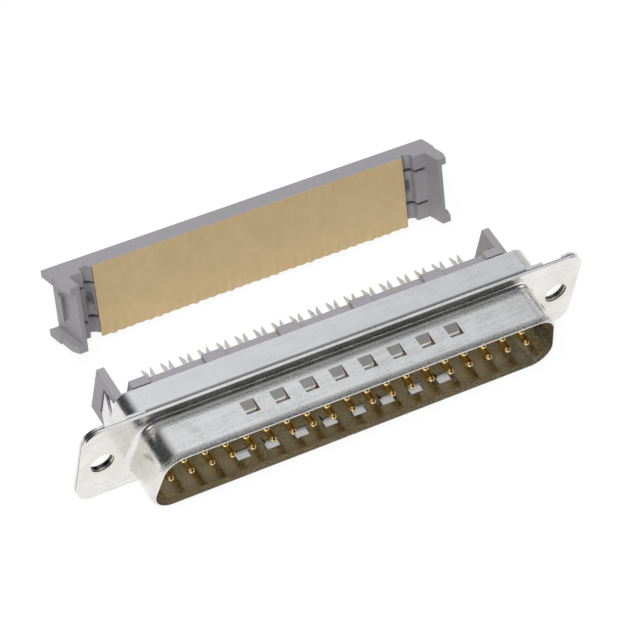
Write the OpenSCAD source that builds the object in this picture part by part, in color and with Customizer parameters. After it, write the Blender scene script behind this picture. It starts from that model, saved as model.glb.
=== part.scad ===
// Ribbon-cable plug with 37 pins in a metal shell, and its press-on cable cover.
// The origin is the centre of the flange's front face: X runs along the flange,
// the pins point along -Y, and the wide row of pins is the lower one.

/* [Flange] */
// How far an ear reaches past the centre of its screw hole
ear_past = 2.91; // [2.3:0.01:3.6]
// How far the flange's edge stands above the rear box
flange_rise = 0.275; // [0.2:0.005:0.5]
// Corner radius of the ears
ear_r = 2.3; // [1:0.1:3]
// Thickness of the sheet that both shells are pressed from
sheet_t = 0.45; // [0.35:0.05:0.5]
// Distance from an end tab's outside to the centre of the screw hole
hole_from_tab = 3.15; // [2.8:0.05:3.6]
// Diameter of the screw holes
hole_d = 3.05; // [2.8:0.05:3.3]
// Wall of the eyelet that joins the shells at each hole
eyelet_wall = 0.3; // [0.2:0.05:0.4]
// How far the eyelet stands past the rear shell
eyelet_past = 0.35; // [0.25:0.05:0.6]
// How far the eyelet's head is rolled outwards
eyelet_flare = 0.35; // [0.2:0.05:0.5]

/* [Shroud] */
// Distance from the last pin of the lower row to the inside of the shroud
d_past = 2.78; // [2.6:0.01:3]
// Inside height of the D
d_h = 8.36; // [8.2:0.02:8.5]
// Inside corner radius of the D
d_r = 2.6; // [2.2:0.1:3]
// Slope of the D's ends, in degrees
d_slope = 10; // [8:0.5:12]
// How far the shroud stands in front of the flange
shroud_len = 6.0; // [5.6:0.1:6.4]
// Radius outside the bend between flange and shroud
root_r = 0.75; // [0.5:0.05:0.75]
// How far the rounding of the shroud's front lip reaches back
lip_back = 0.85; // [0.3:0.05:1.2]
// Width of the flat rim that is left on the lip
lip_rim = 0.05; // [0.02:0.01:0.15]

/* [Grounding lances] */
// Number of lances along each long side
lance_n = 8; // [4:1:10]
// Distance from one lance to the next
lance_pitch = 4.04; // [3.6:0.02:4.5]
// Width of a lance's opening
lance_w = 1.9; // [1.4:0.1:2.4]
// Length of a lance's opening
lance_len = 1.94; // [1.7:0.02:2.4]
// Distance from the flange to a lance's root
lance_root = 1.76; // [1.6:0.02:2.4]
// Length of the tongue that is pressed in
tongue_len = 1.1; // [1:0.01:1.4]
// How deep the tongue's end is pressed in
tongue_drop = 0.42; // [0.4:0.02:0.7]
// Gap at each side of the tongue
tongue_gap = 0.1; // [0.05:0.05:0.2]

/* [Rear shell] */
// How much shorter the rear box is than the D's inside, at each end
box_inset = 0.21; // [0:0.01:0.4]
// How much higher the rear box is than the D's inside, at each side
box_rise = 1.82; // [1.75:0.01:2]
// Outside corner radius of the rear box
box_r = 2.0; // [1.7:0.05:2.2]
// Depth of the box's rear edge behind the flange's front face
box_end = 4.15; // [3.8:0.05:4.6]
// Inside radius of the sheet's folds
fold_r = 0.15; // [0.1:0.05:0.25]
// How much higher the opening in the rear shell's flange is than the D
opening_rise = 0.77; // [0.6:0.01:0.9]
// Clear space between an end tab and the latch post inside it
tab_gap = 0.65; // [0.4:0.05:0.9]
// How much shorter an end tab is than the box, at each side
tab_short = 0.4; // [0.4:0.05:0.8]
// Depth where an end tab narrows to its tongue
tab_end = 3.5; // [3.2:0.1:3.8]
// Height of the tongue that holds a post
latch_h = 4.0; // [3:0.1:4.2]
// Depth where the tongue bends in
latch_bend = 4.5; // [4.3:0.1:4.8]
// Distance from a tab's outside to the bend relief in the flange's edge
relief_gap = 0.25; // [0.1:0.05:0.5]
// Length of the bend relief
relief_w = 2.95; // [2:0.05:3.5]
// How much lower the flange is in the bend relief
relief_d = 0.6; // [0.3:0.05:0.8]

/* [Insulators] */
// Depth of the joint between front and rear insulator
parting = 2.2; // [2:0.05:2.6]
// Clearance between the insulators and the shells
fit = 0.08; // [0.04:0.01:0.12]
// Depth of the pocket for the contacts' bent middles
pocket_end = 3.7; // [3.4:0.1:4]
// Height of the pocket for one row
pocket_h = 2.2; // [2.1:0.1:2.4]
// How far a pocket reaches past its last contact
pocket_past = 0.87; // [0.7:0.01:1]
// How far a pocket's middle lies outside its row of pins
pocket_out = 0.4; // [0.3:0.05:0.5]
// How much lower the rear body is than the box, at each side
body_short = 1.15; // [1:0.05:1.3]
// Step from a latch post's inside to the end of the rear body
body_step = 0.7; // [0.4:0.05:1]
// Depth of the rear body's cable face
body_end = 5.8; // [5.5:0.1:6.2]
// Thickness of a latch post
post_t = 1.0; // [0.9:0.05:1.1]
// Height of a latch post
post_h = 7.0; // [6.6:0.1:7.1]
// Depth of a latch post's end
post_end = 10.2; // [9.8:0.1:10.8]
// Height of the window in a latch post
window_h = 4.5; // [4.3:0.1:4.8]
// Where the window starts and ends along the post
window_from = 5.0; // [4.8:0.1:5.2]
window_to = 8.2; // [7.9:0.1:8.5]
// How far the ribs on the body's long edges stand up
rib_rise = 0.65; // [0.4:0.05:0.7]
// Width of a rib between the conductors
rib_w = 2.8; // [2:0.1:3.2]
// How far a rib's middle lies to the left of the fork after it
rib_back = 0.67; // [0.4:0.01:1]
// Number of contact pairs from one rib to the next
rib_step = 4; // [3:1:6]
// Length of the raised block at each end of the body
block_w = 2.4; // [2:0.1:3]
// Depth where the end blocks start
block_from = 4.7; // [4.4:0.1:5]

/* [Contacts] */
// Number of contacts in the lower row; the upper row has one less
lower_n = 19; // [13:1:19]
// Diameter of a pin
pin_d = 1.02; // [0.95:0.01:1.05]
// Distance from one pin to the next in a row
pin_pitch = 2.77; // [2.74:0.005:2.78]
// Distance between the two rows of pins
pin_rows = 2.84; // [2.7:0.01:2.9]
// How far the pins reach in front of the flange
pin_reach = 4.7; // [4.2:0.1:5.2]
// Width of the seam along a rolled pin
seam_w = 0.2; // [0.08:0.01:0.26]
// Depth of the seam
seam_d = 0.24; // [0.1:0.01:0.3]
// Radial clearance round a pin in the front insulator
pin_fit = 0.04; // [0.02:0.01:0.06]
// Distance from one cable fork to the next in a row
fork_pitch = 2.54; // [2.5:0.01:2.56]
// Distance between the two rows of forks
fork_rows = 4.6; // [4.4:0.05:4.7]
// Width of a fork at its shoulders
fork_w = 1.4; // [1.3:0.05:1.5]
// Width of a fork over its two points
fork_tip_w = 1.24; // [1.1:0.02:1.3]
// Thickness of a fork
fork_t = 0.3; // [0.25:0.01:0.35]
// Depth of the forks' points
fork_end = 8.7; // [8.4:0.1:9.2]
// Width of the slot that takes the conductor
slot_w = 0.3; // [0.24:0.02:0.36]
// Depth of the slot's closed end
slot_from = 5.2; // [4.9:0.1:5.6]
// Length of the slot's V-shaped mouth
mouth_len = 0.8; // [0.6:0.05:1]
// Width of the flat at a fork's point
point_w = 0.08; // [0.04:0.01:0.12]
// Length over which a fork narrows towards its points
taper_len = 2.0; // [1.5:0.1:2.5]
// Width and thickness of a contact's bent middle where it leaves the pin
middle_w = 0.7; // [0.6:0.05:0.9]
middle_t = 0.5; // [0.4:0.05:0.7]
// Clearance round a fork in the rear body
fork_fit = 0.06; // [0.04:0.01:0.1]

/* [Cover] */
// How much shorter the cover is than the distance over the posts, at each end
wing_in = 0.33; // [0.2:0.01:0.5]
// Height of the cover
cover_h = 8.94; // [8.9:0.02:9.1]
// Depth of the cover's wings
wing_d = 6.67; // [6.4:0.01:7]
// Thickness of the wings
wing_t = 0.9; // [0.8:0.05:0.92]
// Clear space between a cheek and its post
cheek_gap = 0.6; // [0.4:0.05:0.8]
// Thickness of a cheek at its front
cheek_t = 0.55; // [0.45:0.05:0.7]
// Thickness of the cover behind the cable
web_d = 3.4; // [3.2:0.05:3.6]
// How far the cable's recess reaches past the last fork of the lower row
recess_past = 0.64; // [0.5:0.01:0.9]
// How far the blocks at the ends of the recess stand forward
side_d = 1.0; // [0.8:0.05:1.2]
// Distance from a block's outer edge to the outside of the cheek
side_in = 0.9; // [0.7:0.05:1.2]
// Distance between the cable's conductors
wire_pitch = 1.27; // [1.25:0.005:1.28]
// Radius of the groove for one conductor
wire_r = 0.55; // [0.45:0.01:0.6]
// Depth of the groove for one conductor
groove_d = 0.22; // [0.12:0.02:0.3]
// Height of the slots that the forks' points enter
fork_slot_h = 0.46; // [0.4:0.02:0.6]
// Depth of these slots
fork_slot_d = 2.3; // [2:0.1:2.6]
// Width and height of the two windows
port_w = 1.1; // [0.9:0.1:1.3]
port_h = 1.9; // [1.6:0.1:2.2]
// Distance from a window's middle to the end of the recess
port_in = 0.75; // [0.6:0.05:0.9]
// Corner radius of a window
port_r = 0.3; // [0.1:0.05:0.5]
// Height and rise of the tooth on each cheek
tooth_h = 3.2; // [2.6:0.1:4]
tooth_rise = 0.5; // [0.3:0.05:0.55]
// Length of the tooth's lead-in, of its flat top and of its slope
tooth_lead = 0.4; // [0.2:0.05:0.6]
tooth_top = 0.4; // [0.2:0.05:0.6]
tooth_slope = 1.4; // [1:0.1:1.8]
// Where the step in the wings' ends starts, and how deep it is
wing_step_at = 2.8; // [2.4:0.1:3.2]
wing_step = 0.22; // [0.1:0.02:0.3]
// Thickness of the adhesive tape
tape_t = 0.12; // [0.1:0.01:0.15]
// Thickness of the paper liner
liner_t = 0.08; // [0.06:0.01:0.12]
// Distance from the liner's end to the end of the recess
liner_in = 1.5; // [1.2:0.05:2]
// Height of the liner
liner_h = 9.56; // [9:0.02:9.8]
// How much lower than the cover's middle the liner sits
liner_drop = 0.08; // [0:0.01:0.2]
// How much smaller the tape is than its liner, all round
tape_inset = 0.1; // [0.05:0.05:0.3]

/* [Where the cover lies] */
// Angle at which the cover leans back
lean = 25.85; // [0:0.05:40]
// Clear distance from the posts' ends to the cover
cover_gap = 7.517; // [7.5:0.001:20]
// How far the cover lies to the right of the plug
cover_x = 1.459; // [-3:0.001:3]

/* [Hidden] */
$fn = 48;
upper_n = lower_n - 1;
contacts = lower_n + upper_n;
hair = 0.01;

// Lengths along the plug, each from the row of contacts outwards
row_w = (lower_n - 1) * max(pin_pitch, fork_pitch);
d_w = row_w + 2 * d_past;
box_w = d_w - 2 * box_inset;
posts_w = box_w;
tab_w = posts_w + 2 * (tab_gap + sheet_t);
hole_pitch = tab_w + 2 * hole_from_tab;
flange_w = hole_pitch + 2 * ear_past;
relief_from = tab_w / 2 + relief_gap;
pocket_w = row_w + 2 * pocket_past;
body_w = posts_w - 2 * (post_t + body_step);
cover_w = posts_w - 2 * wing_in;
cheek_w = posts_w - 2 * (post_t + cheek_gap);
side_w = cheek_w - 2 * side_in;
recess_w = (lower_n - 1) * fork_pitch + 2 * recess_past;
port_x = recess_w / 2 - port_in;
liner_w = recess_w - 2 * liner_in;

// Heights of the plug, from the D outwards
box_h = d_h + 2 * box_rise;
flange_h = box_h + 2 * flange_rise;
opening_h = d_h + 2 * opening_rise;
tab_h = box_h - 2 * tab_short;
body_h = box_h - 2 * body_short;
// Width of the flange's band that is drawn with the bend
bend_lap = 0.3;

// Contacts are numbered along the lower row first
function contact_name(i) = str("contact_", i < 10 ? "0" : "", i);
function is_lower(i) = i <= lower_n;
function row_side(i) = is_lower(i) ? -1 : 1;
function place_in_row(i) =
    is_lower(i) ? i - 1 - (lower_n - 1) / 2 : i - lower_n - 1 - (upper_n - 1) / 2;
function pin_at(i) = [place_in_row(i) * pin_pitch, row_side(i) * pin_rows / 2];
function fork_at(i) = [place_in_row(i) * fork_pitch, row_side(i) * fork_rows / 2];

metal = "gainsboro";
plastic = "darkgray";
gold = "goldenrod";

// D: centres of its corners, clockwise from the upper right
corner_low = d_w / 2 - d_r;
corner_high = corner_low - (d_h - 2 * d_r) * tan(d_slope);
corner_y = d_h / 2 - d_r;
d_corners = [
    [corner_high, corner_y], [corner_low, -corner_y],
    [-corner_low, -corner_y], [-corner_high, corner_y]];
// Direction that the side after each corner faces
d_faces = [d_slope, -90, 180 - d_slope, 90];
// Stations round the D's corners, each a corner's number and a direction
d_steps = 12;
d_stations = [for (k = [0:3], s = [d_steps:-1:0])
    [k, d_faces[k] + (d_faces[(k + 3) % 4] - d_faces[k] + 360) % 360 * s / d_steps]];
function d_point(station, grow) =
    d_corners[station[0]] + (d_r + grow) * [cos(station[1]), sin(station[1])];

rear_face = 2 * sheet_t;
bend_end = sheet_t + fold_r + sheet_t;
bend_r = fold_r + sheet_t;
flap_y = box_h / 2 - bend_r;
flap_w = box_w - 2 * box_r;
bay_x = (flap_w + box_r) / 2;
box_in_w = box_w - 2 * sheet_t;
box_in_h = box_h - 2 * sheet_t;
box_in_r = box_r - sheet_t;
tab_in = tab_w / 2 - sheet_t;
eyelet_r = hole_d / 2 + eyelet_wall;
eyelet_end = rear_face + eyelet_past;
post_in = posts_w / 2 - post_t;
latch_tip = window_to - 0.4;
cover_rest_z = -flange_h / 2 + cover_h / 2 * cos(lean);
cover_rest_y = post_end + cover_gap + wing_d * cos(lean) + cover_h / 2 * sin(lean);

// ---- Ways of drawing -------------------------------------------------------

// Looks at the mating face: x across, y up, z out of the face towards the viewer
module facing() rotate([90, 0, 0]) children();

// An outline made solid between two depths behind the flange's front face
module slab(from, to) translate([0, 0, -to]) linear_extrude(to - from) children();

module block(w, h, from, to) slab(from, to) square([w, h], center = true);

module both_ends() {
    children();
    mirror([1, 0, 0]) children();
}

module both_sides() {
    children();
    mirror([0, 1, 0]) children();
}

// A rectangle with round corners
module round_rect(w, h, r) {
    square([w - 2 * r, h], center = true);
    square([w, h - 2 * r], center = true);
    for (x = [-1, 1], y = [-1, 1])
        translate([x * (w / 2 - r), y * (h / 2 - r)]) circle(r);
}

// The D, grown by a distance
module d_outline(grow) {
    r = d_r + grow;
    polygon([for (k = [0:3], a = [d_faces[(k + 3) % 4], d_faces[k]])
        d_corners[k] + r * [cos(a), sin(a)]]);
    for (c = d_corners) translate(c) circle(r);
}

// The same in short straight lines, for a hole whose edge is covered
module d_window(grow) polygon([for (s = d_stations) d_point(s, grow)]);

// A sheet section carried round the D: x outwards from the inside face, y forwards
module round_the_d(section) {
    m = len(section);
    n = len(d_stations);
    polyhedron(
        points = [for (s = d_stations, p = section) concat(d_point(s, p.x), p.y)],
        faces = [for (i = [0:n - 1], j = [0:m - 1])
            [i * m + j, i * m + (j + 1) % m,
                (i + 1) % n * m + (j + 1) % m, (i + 1) % n * m + j]],
        convexity = 6);
}

// A section with x outwards and y into the depth, run along an edge at +x
module along_edge(run) rotate([-90, 0, 0]) linear_extrude(run, center = true) children();

// ---- Shells ----------------------------------------------------------------

module ear_outline() round_rect(flange_w, flange_h, ear_r);

module screw_holes(r) for (x = [-1, 1]) translate([x * hole_pitch / 2, 0]) circle(r);

// Shroud wall with its rounded lip, the bend, and a narrow band of the flange
function arc(centre, r, from, to, steps) =
    [for (k = [0:steps]) centre + r * [cos(from + (to - from) * k / steps),
        sin(from + (to - from) * k / steps)]];
bend_centre = [sheet_t + root_r, root_r];
shroud_section = concat(
    [[0, shroud_len]],
    [for (a = [90:-15:0]) [lip_rim + (sheet_t - lip_rim) * cos(a), shroud_len - lip_back * (1 - sin(a))]],
    arc(bend_centre, root_r, 180, 270, 5),
    [[bend_centre.x + bend_lap, 0], [bend_centre.x + bend_lap, -sheet_t]],
    arc(bend_centre, root_r + sheet_t, 270, 180, 5));

// Sheet cut on three sides and pressed in, below the upper side of the shroud
module lance_tongue() {
    top = d_h / 2 + sheet_t;
    rotate([90, 0, 90]) linear_extrude(lance_w - 2 * tongue_gap, center = true)
        polygon([
            [top, lance_root - hair], [top - tongue_drop, lance_root + tongue_len],
            [top - tongue_drop - sheet_t, lance_root + tongue_len],
            [top - sheet_t, lance_root - hair]]);
}

module at_lances()
    both_sides() for (k = [0:lance_n - 1])
        translate([(k - (lance_n - 1) / 2) * lance_pitch, 0, 0]) children();

// Wall of an eyelet, with its head rolled over the rear shell
module eyelet_section() {
    in = hole_d / 2;
    polygon([
        [in, 0], [in, -rear_face], [in + eyelet_flare, -eyelet_end],
        [eyelet_r + eyelet_flare, -eyelet_end],
        [eyelet_r + eyelet_flare, -rear_face - fit],
        [eyelet_r, -rear_face - fit], [eyelet_r, 0]]);
}

// Drawn sheet: flange, D-shaped shroud with lances, and the eyelets at its holes
module front_shell() color(metal) facing() {
    slab(0, sheet_t) difference() {
        ear_outline();
        d_window(sheet_t + root_r + bend_lap / 2);
        screw_holes(eyelet_r - hair);
    }
    difference() {
        round_the_d(shroud_section);
        at_lances() translate([-lance_w / 2, d_h / 2 - sheet_t, lance_root])
            cube([lance_w, 3 * sheet_t, lance_len]);
    }
    at_lances() lance_tongue();
    for (x = [-1, 1]) translate([x * hole_pitch / 2, 0, 0])
        rotate_extrude() eyelet_section();
}

// Quarter bend from the flange into a wall whose outer face is at x = outer
module bend(outer, inwards) {
    side = inwards ? -1 : 1;
    x = inwards ? outer - bend_r : outer + fold_r;
    translate([x, bend_end]) intersection() {
        difference() {
            circle(bend_r);
            circle(fold_r);
        }
        translate([inwards ? 0 : -bend_r, -bend_r]) square(bend_r);
    }
}

module flap_section() {
    bend(box_h / 2, true);
    translate([box_h / 2 - sheet_t, bend_end]) square([sheet_t, box_end - bend_end]);
}

module tab_section() {
    bend(tab_w / 2, false);
    translate([tab_in, bend_end]) square([sheet_t, tab_end - bend_end]);
}

// Narrow end of a tab, bent in towards the post's window
module latch_section()
    polygon([
        [tab_in, tab_end - hair], [tab_w / 2, tab_end - hair],
        [tab_w / 2, latch_bend], [posts_w / 2, latch_tip],
        [posts_w / 2 - sheet_t, latch_tip], [tab_in, latch_bend]]);

module rear_plate() difference() {
    ear_outline();
    screw_holes(eyelet_r + fit / 2);
    square([2 * bay_x + hair, opening_h], center = true);
    both_ends() translate([bay_x, -tab_h / 2 - fit])
        square([tab_w / 2 + fold_r - bay_x, tab_h + 2 * fit]);
    both_sides() translate([-flap_w / 2, flap_y]) square([flap_w, flange_h]);
    both_sides() both_ends() translate([relief_from, flange_h / 2 - relief_d])
        square([relief_w, flange_h]);
}

// Drawn sheet: flange, box round the insulators, and the tabs that hold the posts
module rear_shell() color(metal) facing() {
    slab(sheet_t, rear_face) rear_plate();
    both_sides() {
        rotate(90) along_edge(flap_w) flap_section();
        both_ends() translate([flap_w / 2, box_h / 2 - box_r, -box_end])
            rotate_extrude(angle = 90) translate([box_in_r, 0])
                square([sheet_t, box_end - bend_end]);
    }
    both_ends() {
        along_edge(tab_h) tab_section();
        along_edge(latch_h) latch_section();
    }
}

// ---- Insulators ------------------------------------------------------------

module box_filling()
    round_rect(box_in_w - 2 * fit, box_in_h - 2 * fit, box_in_r - fit);

// Moulding inside the shroud that holds the pins in line
module pin_insulator() color(plastic) facing() difference() {
    union() {
        slab(0, rear_face + fit + hair) d_outline(-fit);
        slab(rear_face + fit, parting) box_filling();
    }
    for (i = [1:contacts]) translate(pin_at(i)) translate([0, 0, -parting - hair])
        cylinder(d = pin_d + 2 * pin_fit, h = parting + 2 * hair);
}

module fork_slots(from, to)
    for (i = [1:contacts]) translate(fork_at(i))
        block(fork_w + 2 * fork_fit, fork_t + 2 * fork_fit, from, to);

// Raised ribs that part the cable, every few conductors along both long edges
module cable_ribs() {
    first = -(upper_n - 1) / 2 * fork_pitch;
    both_sides() for (k = [rib_step - 1:rib_step:upper_n - 1])
        translate([first + k * fork_pitch - rib_w / 2 - rib_back, body_h / 2 - hair, -body_end])
            cube([rib_w, rib_rise + hair, body_end - box_end - fit]);
    both_sides() both_ends()
        translate([body_w / 2 - block_w, body_h / 2 - hair, -body_end])
            cube([block_w, rib_rise + hair, body_end - block_from]);
}

module latch_post() difference() {
    translate([post_in, -post_h / 2, -post_end]) cube([post_t, post_h, post_end - parting]);
    translate([post_in - hair, -window_h / 2, -window_to])
        cube([post_t + 2 * hair, window_h, window_to - window_from]);
}

// Moulding behind the pins: it carries the forks, and its posts take the cover
module cable_insulator() color(plastic) facing() {
    difference() {
        union() {
            slab(parting, box_end - fit) box_filling();
            block(body_w, body_h, parting, body_end);
            block(posts_w - 2 * post_t + 2 * hair, post_h, parting, body_end);
            cable_ribs();
        }
        both_sides() translate([0, pin_rows / 2 + pocket_out, 0])
            block(pocket_w, pocket_h, parting - hair, pocket_end);
        fork_slots(pocket_end - hair, body_end + hair);
    }
    both_ends() latch_post();
}

// ---- Contacts --------------------------------------------------------------

// Half of a pin's outline: x from its axis, y forwards
module pin_profile() {
    nose = pin_d * 0.9;
    shank_end = pin_reach - nose;
    r = pin_d / 2;
    translate([0, -parting]) square([r, shank_end + parting]);
    polygon(concat([[0, shank_end - hair], [r, shank_end - hair]],
        [for (a = [0:10:80]) [r * pow(cos(a), 0.7), shank_end + nose * sin(a)]],
        [[0, pin_reach]]));
}

module fork_profile() {
    half = fork_w / 2;
    tip = fork_tip_w / 2;
    slot = slot_w / 2;
    shoulder = fork_end - taper_len;
    polygon([
        [-half, pocket_end], [-half, shoulder], [-tip, fork_end],
        [-tip + point_w, fork_end], [-slot, fork_end - mouth_len],
        [-slot, slot_from], [slot, slot_from], [slot, fork_end - mouth_len],
        [tip - point_w, fork_end], [tip, fork_end], [half, shoulder],
        [half, pocket_end]]);
}

// One stamped and rolled contact: pin, bent middle, and fork for the conductor
module contact(i) color(gold) facing() {
    pin = pin_at(i);
    fork = fork_at(i);
    translate(pin) difference() {
        rotate_extrude() pin_profile();
        translate([-seam_w / 2, pin_d / 2 - seam_d, fit])
            cube([seam_w, pin_d, pin_reach]);
    }
    hull() {
        translate(pin) block(middle_w, middle_t, parting - hair, parting);
        translate(fork) block(fork_w, fork_t, pocket_end - fork_t, pocket_end);
    }
    translate([fork.x, fork.y - fork_t / 2, 0]) rotate([-90, 0, 0])
        linear_extrude(fork_t) fork_profile();
}

// ---- Cover -----------------------------------------------------------------

// The cover's own axes: x along it, y towards its back, z up its height
module cover_place()
    translate([cover_x, cover_rest_y, cover_rest_z]) rotate([-lean, 0, 0]) children();

// Plan of the cover from its middle to one end, as far as the given half length
module cover_plan(half, step = 0) {
    front = -web_d - side_d;
    cheek = cheek_w / 2;
    lip = half - cheek;
    both_ends() polygon([
        [-hair, 0], [half, 0], [half, -wing_step_at], [half - step, -wing_step_at],
        [half - step, -wing_d + lip], [cheek + lip / 2, -wing_d],
        [cheek - cheek_t, -wing_d], [side_w / 2, front], [recess_w / 2, front],
        [recess_w / 2, -web_d], [-hair, -web_d]]);
}

module cover_tooth()
    translate([cheek_w / 2 - hair, -web_d, 0]) linear_extrude(tooth_h, center = true)
        polygon([
            [0, 0], [tooth_rise + hair, tooth_lead],
            [tooth_rise + hair, tooth_lead + tooth_top],
            [0, tooth_lead + tooth_top + tooth_slope]]);

// Moulding that presses the cable on to the forks and clips on to the posts
module cover() color(plastic) cover_place() difference() {
    union() {
        linear_extrude(cover_h, center = true) cover_plan(cheek_w / 2);
        for (z = [-1, 1]) translate([0, 0, z * (cover_h - wing_t) / 2])
            linear_extrude(wing_t, center = true) cover_plan(cover_w / 2, wing_step);
        both_ends() cover_tooth();
    }
    for (k = [0:contacts - 1])
        translate([(k - (contacts - 1) / 2) * wire_pitch, -web_d - wire_r + groove_d, 0])
            cylinder(r = wire_r, h = cover_h + 1, center = true, $fn = 24);
    for (z = [-1, 1])
        translate([-side_w / 2, -web_d - side_d - hair, z * fork_rows / 2 - fork_slot_h / 2])
            cube([side_w, fork_slot_d + side_d, fork_slot_h]);
    both_ends() translate([port_x, hair, 0]) rotate([90, 0, 0])
        linear_extrude(wing_d) round_rect(port_w, port_h, port_r);
}

module sheet_on_cover(inset, back, thick)
    translate([0, -back - thick, -liner_drop]) rotate([90, 0, 0]) mirror([0, 0, 1])
        linear_extrude(thick) square([liner_w - 2 * inset, liner_h - 2 * inset], center = true);

module adhesive_tape() color("tan") cover_place()
    sheet_on_cover(tape_inset, web_d, tape_t);

module paper_liner() color("burlywood") cover_place()
    sheet_on_cover(0, web_d + tape_t, liner_t);

front_shell();
rear_shell();
pin_insulator();
cable_insulator();
for (i = [1:contacts])
    contact(i);
cover();
adhesive_tape();
paper_liner();
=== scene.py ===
import math

import bmesh
import bpy
from mathutils import Matrix, Vector


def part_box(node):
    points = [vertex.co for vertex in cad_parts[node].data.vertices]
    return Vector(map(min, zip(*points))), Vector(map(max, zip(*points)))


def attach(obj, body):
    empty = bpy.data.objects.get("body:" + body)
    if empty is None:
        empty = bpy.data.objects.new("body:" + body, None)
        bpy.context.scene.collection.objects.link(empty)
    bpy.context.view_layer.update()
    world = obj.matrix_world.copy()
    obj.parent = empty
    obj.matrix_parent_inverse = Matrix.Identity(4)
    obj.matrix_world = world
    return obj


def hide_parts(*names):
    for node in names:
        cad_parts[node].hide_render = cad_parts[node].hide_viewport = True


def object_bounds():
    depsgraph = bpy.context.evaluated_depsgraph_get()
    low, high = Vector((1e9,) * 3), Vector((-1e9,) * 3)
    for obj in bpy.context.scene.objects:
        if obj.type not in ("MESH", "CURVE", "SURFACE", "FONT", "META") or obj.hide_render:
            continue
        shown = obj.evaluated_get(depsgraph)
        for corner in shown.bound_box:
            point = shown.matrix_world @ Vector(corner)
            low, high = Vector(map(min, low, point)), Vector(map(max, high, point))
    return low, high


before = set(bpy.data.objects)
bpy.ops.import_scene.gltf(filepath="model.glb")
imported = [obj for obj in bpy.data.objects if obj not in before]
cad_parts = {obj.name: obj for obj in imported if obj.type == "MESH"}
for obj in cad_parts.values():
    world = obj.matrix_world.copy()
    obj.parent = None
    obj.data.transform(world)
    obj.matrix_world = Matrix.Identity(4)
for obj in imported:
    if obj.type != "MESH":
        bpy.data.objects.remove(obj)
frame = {"nodes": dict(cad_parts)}
cad_low, cad_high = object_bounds()

# ---- Front shell ------------------------------------------------------------
# Flange, D-shaped shroud and both eyelets, drawn in one piece from tin-plated
# steel sheet. Drawing leaves fine marks along the walls, an orange-peel skin at
# the root and a crinkled band on the lip, where the tin was stretched most.

parts = frame["nodes"]
mm = 0.001


def put(tree, kind, sockets=(), **settings):
    """Adds a node, with values or links for its input sockets."""
    node = tree.nodes.new("ShaderNode" + kind)
    for name, value in settings.items():
        setattr(node, name, value)
    for name, value in dict(sockets).items():
        if isinstance(value, bpy.types.NodeSocket):
            tree.links.new(value, node.inputs[name])
        else:
            node.inputs[name].default_value = value
    return node


def maths(tree, operation, a, b=0.0, clamp=False):
    return put(tree, "Math", {0: a, 1: b}, operation=operation, use_clamp=clamp).outputs[0]


def product(tree, value, *factors):
    for factor in factors:
        value = maths(tree, "MULTIPLY", value, factor)
    return value


def total(tree, value, *terms):
    for term in terms:
        value = maths(tree, "ADD", value, term)
    return value


def size_of(tree, value):
    return maths(tree, "ABSOLUTE", value)


def between(tree, value, low, high, to_low=0.0, to_high=1.0):
    """value's place from low to high, eased, as a number from to_low to to_high."""
    ramp = put(tree, "MapRange", {"Value": value, "From Min": low, "From Max": high,
                                  "To Min": to_low, "To Max": to_high},
               interpolation_type="SMOOTHSTEP")
    return ramp.outputs[0]


def band(tree, value, start, full_from, full_to, end):
    """1 from full_from to full_to, easing to 0 at start and at end."""
    return product(tree, between(tree, value, start, full_from), between(tree, value, end, full_to))


def axes_of(tree, vector):
    return put(tree, "SeparateXYZ", {0: vector}).outputs


def blend_colours(tree, amount, first, second):
    return put(tree, "Mix", {0: amount, 6: first, 7: second}, data_type="RGBA").outputs[2]


def effect(name, inputs, outputs):
    """An empty node group for an effect that several finishes share."""
    tree = bpy.data.node_groups.new(name, "ShaderNodeTree")
    for label, kind, start in inputs:
        socket = tree.interface.new_socket(label, in_out="INPUT", socket_type="NodeSocket" + kind)
        if start is not None:
            socket.default_value = start
    for label, kind in outputs:
        tree.interface.new_socket(label, in_out="OUTPUT", socket_type="NodeSocket" + kind)
    return tree, tree.nodes.new("NodeGroupInput").outputs, tree.nodes.new("NodeGroupOutput").inputs


def use(tree, group, sockets):
    """Places an effect in a finish with its own values, and gives what it puts out."""
    return put(tree, "Group", sockets, node_tree=group).outputs


def finish(name, **plain):
    """A material with a Principled shader, whose plain values are set on its own sockets."""
    material = bpy.data.materials.new(name)
    material.use_nodes = True
    tree = material.node_tree
    shader = tree.nodes["Principled BSDF"]
    for label, value in plain.items():
        shader.inputs[label.replace("_", " ")].default_value = value
    return material, tree, shader, put(tree, "TexCoord").outputs


def dress(tree, shader, colour, roughness, height, strength, depth):
    """Feeds a finish's colour, roughness and fine relief to its shader."""
    bump = put(tree, "Bump", {"Height": height, "Strength": strength, "Distance": depth})
    tree.links.new(colour, shader.inputs["Base Color"])
    tree.links.new(roughness, shader.inputs["Roughness"])
    tree.links.new(bump.outputs[0], shader.inputs["Normal"])


def coat(node_name, material):
    piece = parts[node_name]
    piece.data.materials.clear()
    piece.data.materials.append(material)
    return piece


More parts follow.
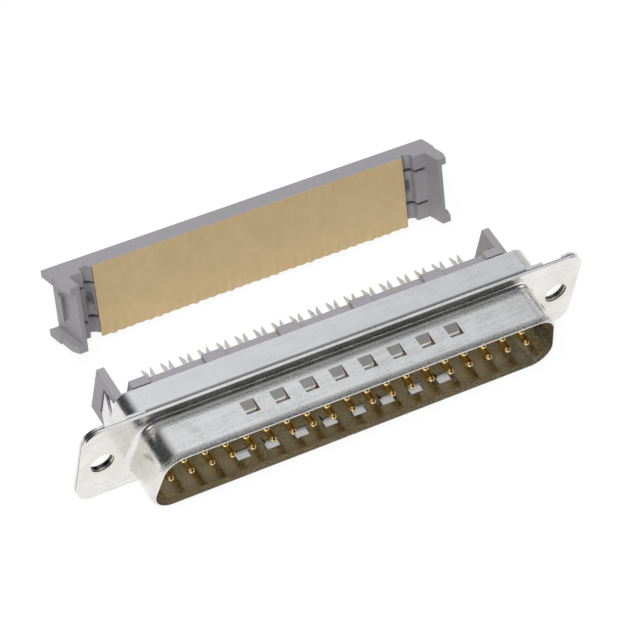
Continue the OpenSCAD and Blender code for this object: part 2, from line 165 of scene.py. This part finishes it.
def ease_edges(piece, width):
    """Rounds a stamped or moulded piece's edges by a hair and smooths its round faces."""
    mesh = piece.data
    if "custom_normal" in mesh.attributes:
        mesh.attributes.remove(mesh.attributes["custom_normal"])
    mesh.polygons.foreach_set("use_smooth", [True] * len(mesh.polygons))
    weld = piece.modifiers.new("weld", "WELD")
    weld.merge_threshold = 1e-6
    flat = piece.modifiers.new("flats", "DECIMATE")
    flat.decimate_type = "DISSOLVE"
    flat.angle_limit = math.radians(0.4)
    if width:
        bevel = piece.modifiers.new("edges", "BEVEL")
        bevel.width = width
        bevel.segments = 2
        bevel.limit_method = "ANGLE"
        bevel.angle_limit = math.radians(28)
        bevel.use_clamp_overlap = True
        bevel.harden_normals = False
    split = piece.modifiers.new("sharp", "EDGE_SPLIT")
    split.split_angle = math.radians(32)
    even = piece.modifiers.new("flat_faces", "WEIGHTED_NORMAL")
    even.keep_sharp = True
    return piece


# Tin: slow clouds of tone, fine grain, orange peel, and marks that run down the
# walls, where the die drew them, and across them, where the parts were handled
tin_skin, given, result = effect(
    "Tin skin",
    [("Place", "Vector", None), ("Clouds", "Float", 0.5), ("Marks", "Float", 0.5),
     ("Grain", "Float", 0.5), ("Peel", "Float", 0.0)],
    [("Tone", "Float"), ("Roughness", "Float"), ("Height", "Float")])


def speckle(tree, place, scale, low, high, **noise):
    """Noise from -0.5 to 0.5, its slopes steepened between low and high."""
    settings = {"Vector": place, "Scale": scale, "Detail": 4.0, "Roughness": 0.65}
    settings.update(noise)
    cloud = put(tree, "TexNoise", settings).outputs["Fac"]
    return maths(tree, "SUBTRACT", between(tree, cloud, low, high), 0.5)


def stretched(tree, place, x=1.0, y=1.0):
    return put(tree, "Mapping", {"Vector": place, "Scale": (x, y, 1.0)}).outputs[0]


spot = given["Place"]
clouds = product(tin_skin, speckle(tin_skin, spot, 300.0, 0.3, 0.7, Distortion=0.6), given["Clouds"])
grain = product(tin_skin, speckle(tin_skin, spot, 3400.0, 0.3, 0.7), given["Grain"])
peel = product(tin_skin, speckle(tin_skin, spot, 7000.0, 0.25, 0.75, Detail=2.0), given["Peel"])
draws = product(tin_skin, speckle(tin_skin, stretched(tin_skin, spot, y=0.05), 3000.0, 0.3, 0.7), 0.25)
scuffs = speckle(tin_skin, stretched(tin_skin, spot, x=0.08), 1900.0, 0.35, 0.75)
marks = product(tin_skin, total(tin_skin, draws, scuffs), given["Marks"])
worn = total(tin_skin, clouds, marks)
tone = maths(tin_skin, "ADD", product(tin_skin, total(tin_skin, worn, grain), 0.5), 0.5, clamp=True)
rough = maths(tin_skin, "ADD", total(tin_skin, product(tin_skin, worn, 0.5), grain), 0.5, clamp=True)
relief = total(tin_skin, product(tin_skin, total(tin_skin, marks, grain), 0.15), peel)
for label, value in (("Tone", tone), ("Roughness", rough), ("Height", relief)):
    tin_skin.links.new(value, result[label])


def seam_shade_mask(tree, axes, facing, side):
    """1 along a flange's cut edge, where it lies against the other flange: the band painted dark as
    painted shade for the groove between the sheets.
    """
    on_edge = between(tree, size_of(tree, facing["Y"]), 0.6, 0.3)
    near = between(tree, axes["Y"], sheet + side * 0.08 * mm, sheet + side * 0.03 * mm)
    return product(tree, on_edge, near)


sheet = 0.45 * mm
shroud_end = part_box("front_shell")[0].y
shroud_top = 4.63 * mm
lip_height = 0.9 * mm
root_near, root_far = 0.35 * mm, 1.6 * mm
hole_inset, stain_full, stain_end = 2.91 * mm, 1.9 * mm, 3.6 * mm
hole_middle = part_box("front_shell")[1].x - hole_inset
lance_root = 1.76 * mm
lance_length = 1.95 * mm
lance_row = 17 * mm
stamped_edge = 0.05 * mm
drawn_dull, drawn_bright = (0.68, 0.67, 0.64, 1), (0.96, 0.95, 0.925, 1)
finger_stain = (0.70, 0.655, 0.53, 1)
# Painted shade: dark colours for the groove between the two flanges and for the lance slits
painted_seam_shade, painted_slit_shade = (0.10, 0.09, 0.08, 1), (0.06, 0.055, 0.05, 1)

shell_tin, tree, shader, coords = finish("drawn_tin_plate")
axes = axes_of(tree, coords["Object"])
facing = axes_of(tree, coords["Normal"])
lip = between(tree, axes["Y"], shroud_end + lip_height, shroud_end + lip_height - 0.15 * mm)
root = band(tree, axes["Y"], -root_far, -root_far + 0.3 * mm, -root_near - 0.15 * mm, -root_near)
peeled = total(tree, product(tree, lip, 1.3), product(tree, root, 0.7))
skin = use(tree, tin_skin, {"Place": coords["Object"], "Clouds": 0.7, "Marks": 0.8,
                            "Grain": 0.45, "Peel": peeled})
tone = blend_colours(tree, skin["Tone"], drawn_dull, drawn_bright)

# The tin is stained by fingers and screws round the holes
beside = put(tree, "CombineXYZ", {"X": size_of(tree, axes["X"]), "Z": axes["Z"]}).outputs[0]
from_hole = put(tree, "VectorMath", {0: beside, 1: (hole_middle, 0, 0)}, operation="DISTANCE")
handled = between(tree, from_hole.outputs["Value"], stain_end, stain_full)
tone = blend_colours(tree, product(tree, handled, skin["Tone"], 0.5), tone, finger_stain)
# Painted shade: the cut edge is darkened where it meets the rear flange, for the shade in the groove
# between them
tone = blend_colours(tree, seam_shade_mask(tree, axes, facing, -1), tone, painted_seam_shade)

# The faces cut for the lances are dull, and hardly any light falls into the slits, so the faces deep in
# them are painted dark: painted shade
lances = band(tree, axes["Y"], -lance_root - lance_length - 0.15 * mm, -lance_root - lance_length,
              -lance_root - 0.1 * mm, -lance_root)
in_row = between(tree, size_of(tree, axes["X"]), lance_row, lance_row - 0.5 * mm)
cut_face = product(tree, lances, in_row, between(tree, size_of(tree, facing["Z"]), 0.5, 0.3))
tree.links.new(maths(tree, "SUBTRACT", 1.0, product(tree, cut_face, 0.8)), shader.inputs["Metallic"])
deep = between(tree, size_of(tree, axes["Z"]), shroud_top - 0.10 * mm, shroud_top - 0.16 * mm)
slit_shade = product(tree, cut_face, between(tree, size_of(tree, facing["X"]), 0.5, 0.7), deep)
dress(tree, shader, blend_colours(tree, slit_shade, tone, painted_slit_shade),
      total(tree, product(tree, skin["Roughness"], 0.26), 0.10), skin["Height"], 0.9, 0.02 * mm)
ease_edges(coat("front_shell", shell_tin), stamped_edge)

# ---- Lance ends -------------------------------------------------------------
# The last half millimetre of each grounding lance, turned in steeply so that it
# springs against the mating shell. It is one sheet with the lance it ends, but its tin is painted dark
# grey, as painted shade for the dark inside of the lance windows.


def place_in_scene(name, data):
    """A new object from a mesh, a lamp or a camera."""
    made = bpy.data.objects.new(name, data)
    bpy.context.scene.collection.objects.link(made)
    return made


# Painted shade: the lance ends' tin is far darker than the shell's, for the shade in the windows
spring_shade_dark, spring_shade_light = (0.14, 0.135, 0.13, 1), (0.36, 0.355, 0.35, 1)
lance_end_shade, tree, shader, coords = finish("lance_end_shade_plate", Metallic=0.5)
skin = use(tree, tin_skin, {"Place": coords["Object"], "Clouds": 0.8, "Marks": 0.6, "Grain": 0.6})
tree.links.new(blend_colours(tree, skin["Tone"], spring_shade_dark, spring_shade_light),
               shader.inputs["Base Color"])
tree.links.new(between(tree, skin["Roughness"], 0.0, 1.0, 0.25, 0.45), shader.inputs["Roughness"])

lances_in_row = 8
lance_pitch = 4.04 * mm
lance_half_width = 0.88 * mm
lance_edge = 0.04 * mm
slope_length, slope_drop = 1.1 * mm, 0.42 * mm
slope_end_y = -lance_root - slope_length
slope_end_z = shroud_top - slope_drop - sheet
turned_in = ((0.0, 0.0), (-0.27, -0.5), (-0.06, -0.6), (0.2, -0.1), (0.2, 0.0))
springs = bmesh.new()
for side in (-1, 1):
    for number in range(lances_in_row):
        x = (number - (lances_in_row - 1) / 2) * lance_pitch
        left, right = [], []
        for y, z in turned_in:
            point = (slope_end_y + y * mm, side * (slope_end_z + z * mm))
            left.append(springs.verts.new((x - lance_half_width, *point)))
            right.append(springs.verts.new((x + lance_half_width, *point)))
        for k in range(len(turned_in)):
            after = (k + 1) % len(turned_in)
            springs.faces.new((left[k], left[after], right[after], right[k]))
        springs.faces.new(left)
        springs.faces.new(right)
bmesh.ops.recalc_face_normals(springs, faces=springs.faces)
springs_mesh = bpy.data.meshes.new("lance_ends")
springs.to_mesh(springs_mesh)
lance_ends = place_in_scene("lance_ends", springs_mesh)
parts["lance_ends"] = lance_ends
ease_edges(coat("lance_ends", lance_end_shade), lance_edge)
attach(lance_ends, "connector")

# ---- Rear shell -------------------------------------------------------------
# Second stamping from the same strip, laid against the first one and held by the
# rolled eyelets. Its box was only folded, so it keeps the strip's even satin.

folded_dull, folded_bright = (0.66, 0.65, 0.64, 1), (0.90, 0.89, 0.88, 1)
rear_tin, tree, shader, coords = finish("folded_tin_plate", Metallic=1.0)
axes = axes_of(tree, coords["Object"])
facing = axes_of(tree, coords["Normal"])
skin = use(tree, tin_skin, {"Place": coords["Object"], "Clouds": 0.6, "Marks": 0.6, "Grain": 0.35})
tone = blend_colours(tree, skin["Tone"], folded_dull, folded_bright)
# Painted shade: the cut edge is darkened where it meets the front flange, for the shade in the groove
# between them
dress(tree, shader, blend_colours(tree, seam_shade_mask(tree, axes, facing, 1), tone, painted_seam_shade),
      total(tree, product(tree, skin["Roughness"], 0.2), 0.16), skin["Height"], 0.5, 0.02 * mm)


def reshaped(node_name, name, move):
    """A new piece from a node's mesh, each point moved, that stands for the node."""
    mesh = parts[node_name].data.copy()
    for vertex in mesh.vertices:
        vertex.co = move(vertex.co)
    piece = place_in_scene(name, mesh)
    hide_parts(node_name)
    parts[node_name] = piece
    return piece


# Where the box and its end tabs lie in the pressing, and how far they are moved
near = 0.1 * mm
flange_back = 2 * sheet + 0.02 * mm
box_side, box_straight, box_end = 27.5 * mm, 25.5 * mm, 4.15 * mm
tab_inside, tab_fold, tab_end = 28.15 * mm, 1.04 * mm, 3.5 * mm
tab_half_height = 4.02 * mm
corner_out, opening_out, tab_longer = 1.1 * mm, 0.9 * mm, 0.6 * mm


def run_corners_out(point):
    """Sets the box's corners out to the end tabs, which close its ends between them."""
    x, y, z = point
    side = math.copysign(1, x)
    if flange_back < y < box_end + near and box_straight - near < abs(x) < box_side + near:
        x += side * corner_out
    elif y < flange_back and abs(abs(x) - box_straight) < near:
        x += side * opening_out
    elif abs(x) > tab_inside - near and tab_fold < y < tab_end + near:
        z = math.copysign(min(abs(z), tab_half_height), z)
        if y > tab_end - near:
            y += tab_longer
    return Vector((x, y, z))


box_sheet = reshaped("rear_shell", "box_sheet", run_corners_out)
ease_edges(coat("rear_shell", rear_tin), stamped_edge)
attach(box_sheet, "connector")

# ---- Insulators -------------------------------------------------------------
# Two mouldings in glass-filled polyester. The front one is olive and lines up the
# pins inside the shroud, and the rear one is grey and carries forks and posts.

moulded_skin, given, result = effect(
    "Moulded skin", [("Place", "Vector", None)], [("Tone", "Float"), ("Height", "Float")])
flow = put(moulded_skin, "TexNoise",
           {"Vector": given["Place"], "Scale": 140.0, "Detail": 4.0, "Roughness": 0.6}).outputs["Fac"]
fibres = put(moulded_skin, "TexNoise",
             {"Vector": given["Place"], "Scale": 6000.0, "Detail": 3.0, "Roughness": 0.7}).outputs["Fac"]
mottle = total(moulded_skin, product(moulded_skin, flow, 0.6), product(moulded_skin, fibres, 0.4))
moulded_skin.links.new(mottle, result["Tone"])
moulded_skin.links.new(fibres, result["Height"])


def polyester(name, dark, light):
    """Glass-filled polyester, mottled between two tones."""
    material, tree, shader, coords = finish(name, Specular_IOR_Level=0.45)
    skin = use(tree, moulded_skin, {"Place": coords["Object"]})
    dress(tree, shader, blend_colours(tree, skin["Tone"], dark, light),
          between(tree, skin["Tone"], 0.2, 0.8, 0.42, 0.56), skin["Height"], 0.4, 0.01 * mm)
    return material


moulded_edge = 0.05 * mm
grey_moulding = polyester("grey_polyester", (0.270, 0.260, 0.276, 1), (0.365, 0.352, 0.368, 1))
olive_moulding = polyester("olive_polyester", (0.56, 0.50, 0.32, 1), (0.66, 0.60, 0.41, 1))
ease_edges(coat("cable_insulator", grey_moulding), moulded_edge)
ease_edges(coat("pin_insulator", olive_moulding), moulded_edge)

# ---- Contacts ---------------------------------------------------------------
# Each contact is stamped from one strip of bronze and rolled round at the front.
# The pin is plated with gold, the fork that cuts into the cable with tin.

pin_pitch = 2.77 * mm
gold_deep, gold_pale = (0.93, 0.62, 0.20, 1), (1.0, 0.84, 0.45, 1)
tin_deep, tin_pale = (0.52, 0.48, 0.43, 1), (0.80, 0.76, 0.70, 1)
seam_shade_brown = (0.22, 0.075, 0.01, 1)
contact_metal, tree, shader, coords = finish("gold_and_tin_plate", Metallic=1.0)
axes = axes_of(tree, coords["Object"])
skin = use(tree, tin_skin, {"Place": coords["Object"], "Clouds": 0.5, "Marks": 0.5, "Grain": 0.5})
gold = blend_colours(tree, skin["Tone"], gold_deep, gold_pale)
tin = blend_colours(tree, skin["Tone"], tin_deep, tin_pale)

# The seam runs along each pin's middle, and the upper row is half a pitch across. The seam is painted
# dark brown as painted shade in its groove
upper = between(tree, axes["Z"], -0.1 * mm, 0.1 * mm, 0.0, pin_pitch / 2)
off_axis = maths(tree, "PINGPONG", total(tree, axes["X"], upper), pin_pitch / 2)
gold = blend_colours(tree, between(tree, off_axis, 0.10 * mm, 0.05 * mm), gold, seam_shade_brown)
groove = product(tree, between(tree, off_axis, 0.2 * mm, 0.0), 6.0)

tinned = between(tree, axes["Y"], 1.8 * mm, 2.8 * mm)
dress(tree, shader, blend_colours(tree, tinned, gold, tin),
      total(tree, product(tree, skin["Roughness"], 0.12), product(tree, tinned, 0.12), 0.1),
      maths(tree, "SUBTRACT", skin["Height"], groove), 0.5, 0.01 * mm)
for name in sorted(parts):
    if name.startswith("contact_"):
        ease_edges(coat(name, contact_metal), 0)

# ---- Cover ------------------------------------------------------------------
# One moulding in the same grey polyester. It is pressed on over the cable, and
# stands here taken off, before its liner is peeled.

lean = Matrix.Rotation(math.radians(-25.85), 4, "X")
cover_frame = Matrix.Translation(Vector((1.459, 25.667, -2.255)) * mm) @ lean

# In millimetres: across from the cover's middle, and forward from its back
last_groove, recess_end, block_end = 22.3, 23.5, 25.0
web_face, block_face = -3.4, -4.4
sunk, widened = 0.65, 0.25
cover_edge = 0.12 * mm


def sink_ends(point):
    """Deepens the web and the end blocks beside the liner, in the cover's own axes."""
    x, y, z = (cover_frame.inverted() @ point) / mm
    on_web = abs(x) > last_groove and web_face - 0.1 < y < web_face + 0.3
    on_block = recess_end - 0.1 < abs(x) < block_end + 0.1 and y < block_face + 0.1
    if on_web or on_block:
        y += sunk
    if on_block and abs(x) > block_end - 0.1:
        x = math.copysign(block_end + widened, x)
    return cover_frame @ (Vector((x, y, z)) * mm)


press_cover = reshaped("cover", "press_cover", sink_ends)
ease_edges(coat("cover", grey_moulding), cover_edge)
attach(press_cover, "cover")

# ---- Tape and liner ---------------------------------------------------------
# A strip of clear adhesive film in the cover's cable recess, under a kraft-paper
# liner that is pressed into the grooves, one for each conductor, along its edges.

glue_dark, glue_light = (0.60, 0.56, 0.46, 1), (0.70, 0.67, 0.58, 1)
tape_film, tree, shader, coords = finish("clear_adhesive", Roughness=0.3, Specular_IOR_Level=0.5)
haze = put(tree, "TexNoise", {"Vector": coords["Object"], "Scale": 900.0, "Detail": 3.0}).outputs["Fac"]
tree.links.new(blend_colours(tree, haze, glue_dark, glue_light), shader.inputs["Base Color"])
coat("adhesive_tape", tape_film)

kraft_dark, kraft_light = (0.58, 0.435, 0.235, 1), (0.64, 0.485, 0.27, 1)
fibre_brown = (0.58, 0.43, 0.22, 1)
kraft, tree, shader, coords = finish("kraft_liner", Specular_IOR_Level=0.3)
pulp = put(tree, "TexNoise", {"Vector": coords["Object"], "Scale": 420.0,
                              "Detail": 6.0, "Roughness": 0.65}).outputs["Fac"]
fibre = put(tree, "TexNoise", {"Vector": stretched(tree, coords["Object"], x=0.25), "Scale": 5200.0,
                               "Detail": 3.0, "Roughness": 0.7}).outputs["Fac"]
brown = blend_colours(tree, between(tree, pulp, 0.25, 0.75), kraft_dark, kraft_light)
brown = blend_colours(tree, between(tree, fibre, 0.35, 0.75, 0.0, 0.35), brown, fibre_brown)
dress(tree, shader, brown, between(tree, fibre, 0.2, 0.8, 0.6, 0.8), fibre, 0.3, 0.02 * mm)

# The flat liner's middle and half sizes, once the cover's lean is taken out
wire_pitch = 1.27 * mm
corners = [vertex.co for vertex in parts["paper_liner"].data.vertices]
middle = sum(corners, Vector()) / len(corners)
upright = lean.to_3x3().transposed()
level = [upright @ (corner - middle) for corner in corners]
half = Vector(max(abs(corner[k]) for corner in level) for k in range(3))


def pressed(u, v, side):
    """A point of the paper's back or front face, for u across it and v up it from -1 to 1."""
    at_foot = v < 0
    wave = 0.5 + 0.5 * math.cos(math.tau * u * half.x / wire_pitch)
    wave *= 0.6 + 0.4 * math.sin(17 * u + 2) * math.sin(43 * u)
    by_edge = max(0.0, abs(v) - 0.55) / 0.45
    at_edge = max(0.0, abs(v) - 0.9) / 0.1
    lift = (0.14 if at_foot else 0.08) * mm * by_edge ** 1.5 * wave
    drop = (0.13 if at_foot else -0.06) * mm * at_edge * wave
    slack = abs(0.03 * mm * math.sin(9 * u + 1)) * math.sin(2.4 * v + 0.4) ** 2
    return Vector((u * half.x, side * half.y - lift - slack, v * half.z - drop))


columns, rows = 352, 12
points, faces = [], []
for side in (-1, 1):
    for row in range(rows + 1):
        for column in range(columns + 1):
            points.append(pressed(2 * column / columns - 1, 2 * row / rows - 1, side))
stride = columns + 1
back = stride * (rows + 1)
for row in range(rows):
    for column in range(columns):
        a = row * stride + column
        quad = [a, a + 1, a + stride + 1, a + stride]
        faces.append(quad)
        faces.append([back + corner for corner in reversed(quad)])
outline = [row * stride for row in range(rows + 1)]
outline += [rows * stride + column for column in range(1, stride)]
outline += [row * stride + columns for row in range(rows - 1, -1, -1)]
outline += range(columns - 1, 0, -1)
for first, second in zip(outline, outline[1:] + outline[:1]):
    faces.append([first, second, second + back, first + back])
liner_mesh = bpy.data.meshes.new("release_liner")
liner_mesh.from_pydata([upright.transposed() @ point + middle for point in points], [], faces)
liner_mesh.materials.append(kraft)
liner_mesh.polygons.foreach_set("use_smooth", [True] * len(liner_mesh.polygons))
release_liner = place_in_scene("release_liner", liner_mesh)
split = release_liner.modifiers.new("sharp", "EDGE_SPLIT")
split.split_angle = math.radians(40)
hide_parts("paper_liner")
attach(release_liner, "cover")

# ---- Light table ------------------------------------------------------------
# White table under a soft top light, in a room that is darker low down and has
# three light patches, so that the plated sheet shows its folds as dark streaks.

reach = 1.6
rim_points = 64
rim = []
for k in range(rim_points):
    angle = math.tau * k / rim_points
    rim.append(Vector((reach * math.cos(angle), reach * math.sin(angle), cad_low.z)))
floor_mesh = bpy.data.meshes.new("light_table")
floor_mesh.from_pydata(rim, [], [list(range(rim_points))])
floor = place_in_scene("light_table", floor_mesh)

# The table looks white to the eye and in the metal, and less so below the plug
white_top = (0.82, 0.82, 0.82, 1)
table_white, tree, shader, coords = finish("table_white", Base_Color=white_top, Roughness=0.7)
path = put(tree, "LightPath").outputs
glow = put(tree, "Emission", {"Color": (1, 1, 1, 1), "Strength": 1.03}).outputs[0]
seen = maths(tree, "MAXIMUM", path["Is Camera Ray"],
             maths(tree, "MAXIMUM", path["Is Glossy Ray"], path["Is Transmission Ray"]))
axes = axes_of(tree, coords["Object"])
shade_side, shade_full = 26.5 * mm, 22 * mm
below = band(tree, axes["Y"], shroud_end + 1.2 * mm, shroud_end + 2.2 * mm, 4 * mm, 14 * mm)
below = product(tree, below, between(tree, size_of(tree, axes["X"]), shade_side, shade_full))
seen = product(tree, seen, maths(tree, "SUBTRACT", 0.9, product(tree, below, 0.7)))
mixed = put(tree, "MixShader", {0: seen, 1: shader.outputs[0], 2: glow})
tree.links.new(mixed.outputs[0], tree.nodes["Material Output"].inputs["Surface"])
floor_mesh.materials.append(table_white)

world = bpy.data.worlds.new("studio")
bpy.context.scene.world = world
world.use_nodes = True
tree = world.node_tree
way = put(tree, "TexCoord").outputs["Generated"]


def along(aim):
    """1 in the room where one looks straight along aim, and less towards its sides."""
    share = put(tree, "VectorMath", {0: way, 1: Vector(aim).normalized()}, operation="DOT_PRODUCT")
    return share.outputs["Value"]


# The room is bright towards its upper back right, and dark everywhere else
ramp = put(tree, "ValToRGB", {0: along((0.30, 0.70, 0.65))})
stops = ((0.0, 0.06), (0.62, 0.06), (0.76, 0.11), (0.86, 0.34),
         (0.94, 0.61), (0.965, 0.69), (0.978, 1.14), (1.0, 1.2))
for place, strength in stops[1:-1]:
    ramp.color_ramp.elements.new(place)
for element, (place, strength) in zip(ramp.color_ramp.elements, stops):
    element.position = place
    element.color = (0.96 * strength, 0.98 * strength, 1.03 * strength, 1)

# A glow on the ceiling, and three light patches. Each has its aim, how near the aim
# it is full, how near the aim it begins, and its strength
patches = (((0.86, 0.5, 0.06), 0.97, 0.82, 0.55),
           ((-0.55, -0.45, 0.70), 0.988, 0.965, 1.5),
           ((0.84, -0.38, 0.39), 0.988, 0.965, 1.4))
ceiling_start, ceiling_full, ceiling_strength = 0.78, 0.92, 0.3
glows = between(tree, axes_of(tree, way)["Z"], ceiling_start, ceiling_full, 0.0, ceiling_strength)
for aim, full, start, strength in patches:
    glows = total(tree, glows, between(tree, along(aim), start, full, 0.0, strength))
room = tree.nodes["Background"]
lit = put(tree, "VectorMath", {0: ramp.outputs[0], 1: glows}, operation="ADD")
tree.links.new(lit.outputs[0], room.inputs["Color"])
white = put(tree, "Background", {"Color": (1, 1, 1, 1), "Strength": 1.0}).outputs[0]
to_eye = put(tree, "LightPath").outputs["Is Camera Ray"]
mixed = put(tree, "MixShader", {0: to_eye, 1: room.outputs[0], 2: white})
tree.links.new(mixed.outputs[0], tree.nodes["World Output"].inputs["Surface"])

lamp = bpy.data.lights.new("top_left_light", "AREA")
lamp.shape = "DISK"
lamp.size = 0.6
lamp.energy = 4.6
lamp_holder = place_in_scene("top_left_light", lamp)
lamp_holder.location = (-0.28, -0.12, 0.6)
lamp_holder.rotation_mode = "QUATERNION"
lamp_holder.rotation_quaternion = (-lamp_holder.location).to_track_quat("-Z", "Y")
lamp_holder.visible_glossy = False

# ---- Camera -----------------------------------------------------------------
# A long lens above and to the left of the mating face. It looks down into the
# shroud, with the cable cover standing behind the plug.

sight = Vector((0.41244, 0.50010, -0.76144)).normalized()
across = Vector((0.85518, -0.50060, 0.13443)).normalized()
above = (-sight).cross(across)
turn = Matrix((across, above, -sight)).transposed().to_4x4()
eye = Vector((-0.164203, -0.193916, 0.307814))
camera = place_in_scene("camera", bpy.data.cameras.new("camera"))
camera.matrix_world = Matrix.Translation(eye) @ turn
camera.data.sensor_width = 36.0
camera.data.lens = 187.55
camera.data.clip_start = 0.01
bpy.context.scene.camera = camera
bpy.context.scene.view_settings.view_transform = "Standard"
